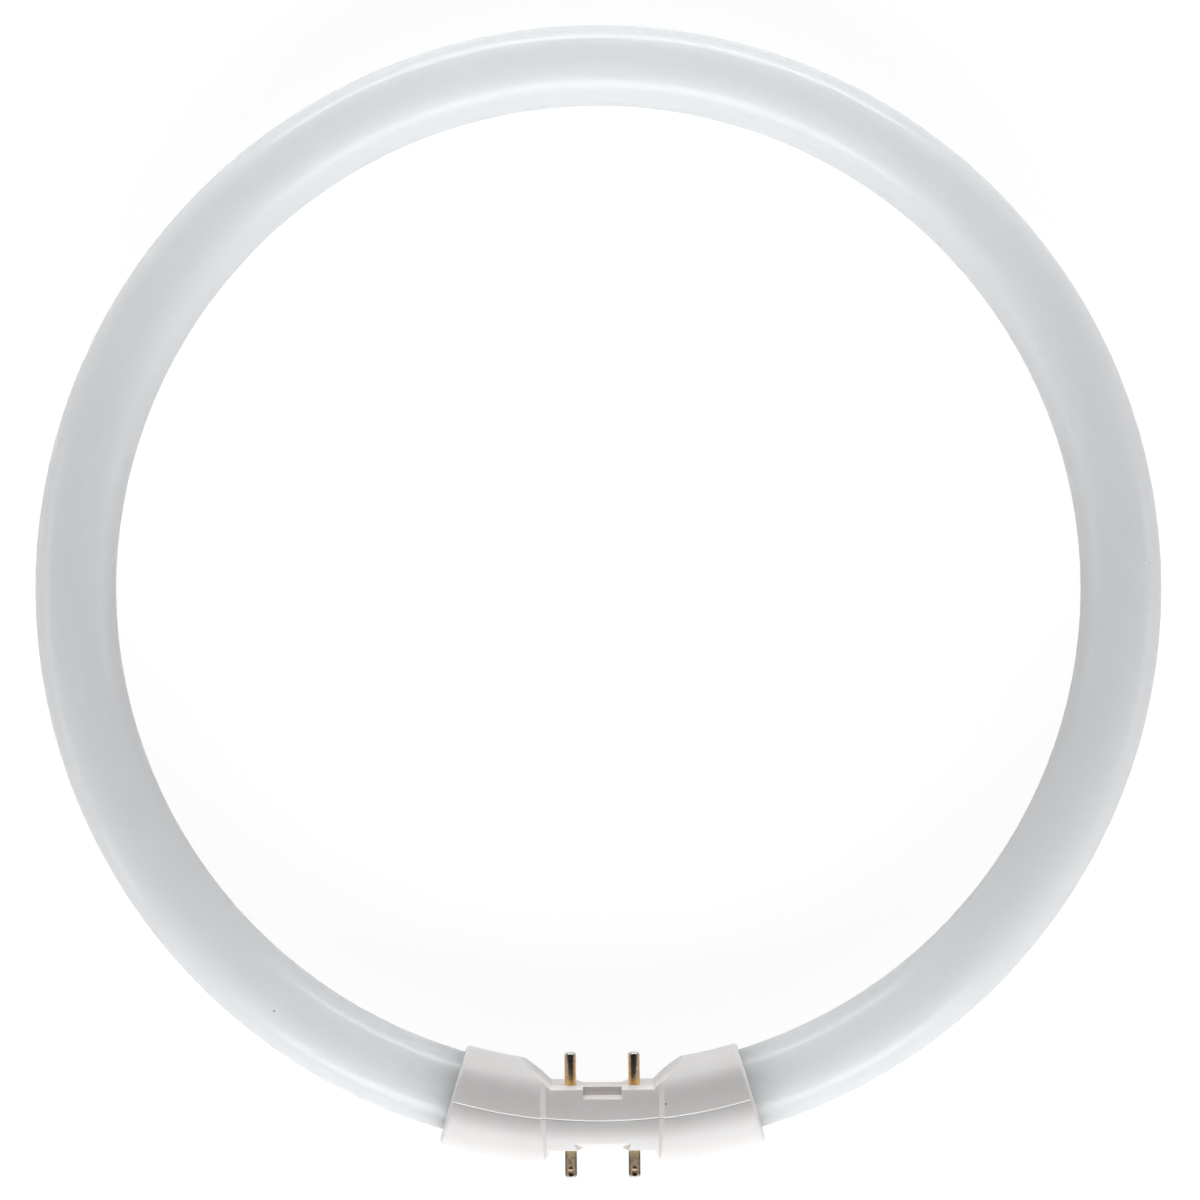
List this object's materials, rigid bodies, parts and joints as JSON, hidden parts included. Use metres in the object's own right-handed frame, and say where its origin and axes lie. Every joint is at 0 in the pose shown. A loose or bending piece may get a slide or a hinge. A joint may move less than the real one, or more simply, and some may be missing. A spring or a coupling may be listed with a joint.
{
  "type": "circular fluorescent tube",
  "caption": "Circular white fluorescent tube closed by a moulded plastic base, whose brass contact pins point at the ring's centre and outwards.",
  "frame": {"origin": "centre of the ring, in the plane of the tube's centre line", "axes": "+Z along the ring's axis, up as the lamp lies flat; +Y from the ring's centre away from the base, the way the inner pins point; +X to the right of that, seen from above"},
  "size_m": [0.225, 0.2303, 0.0204],
  "materials": {
    "coated_glass": "gloss, white inside",
    "base_plastic": "satin",
    "pin_brass": "drawn",
    "lead_metal": "bright"
  },
  "bodies": {
    "root": {"glass_tube": "coated_glass", "base_inner_shell": "base_plastic", "base_outer_shell": "base_plastic", "inner_pin_left": "pin_brass", "inner_pin_right": "pin_brass", "outer_pin_left": "pin_brass", "outer_pin_right": "pin_brass", "lead_wire_inner_left": "lead_metal", "lead_wire_inner_right": "lead_metal", "lead_wire_outer_left": "lead_metal", "lead_wire_outer_right": "lead_metal"}
  },
  "joints": []
}
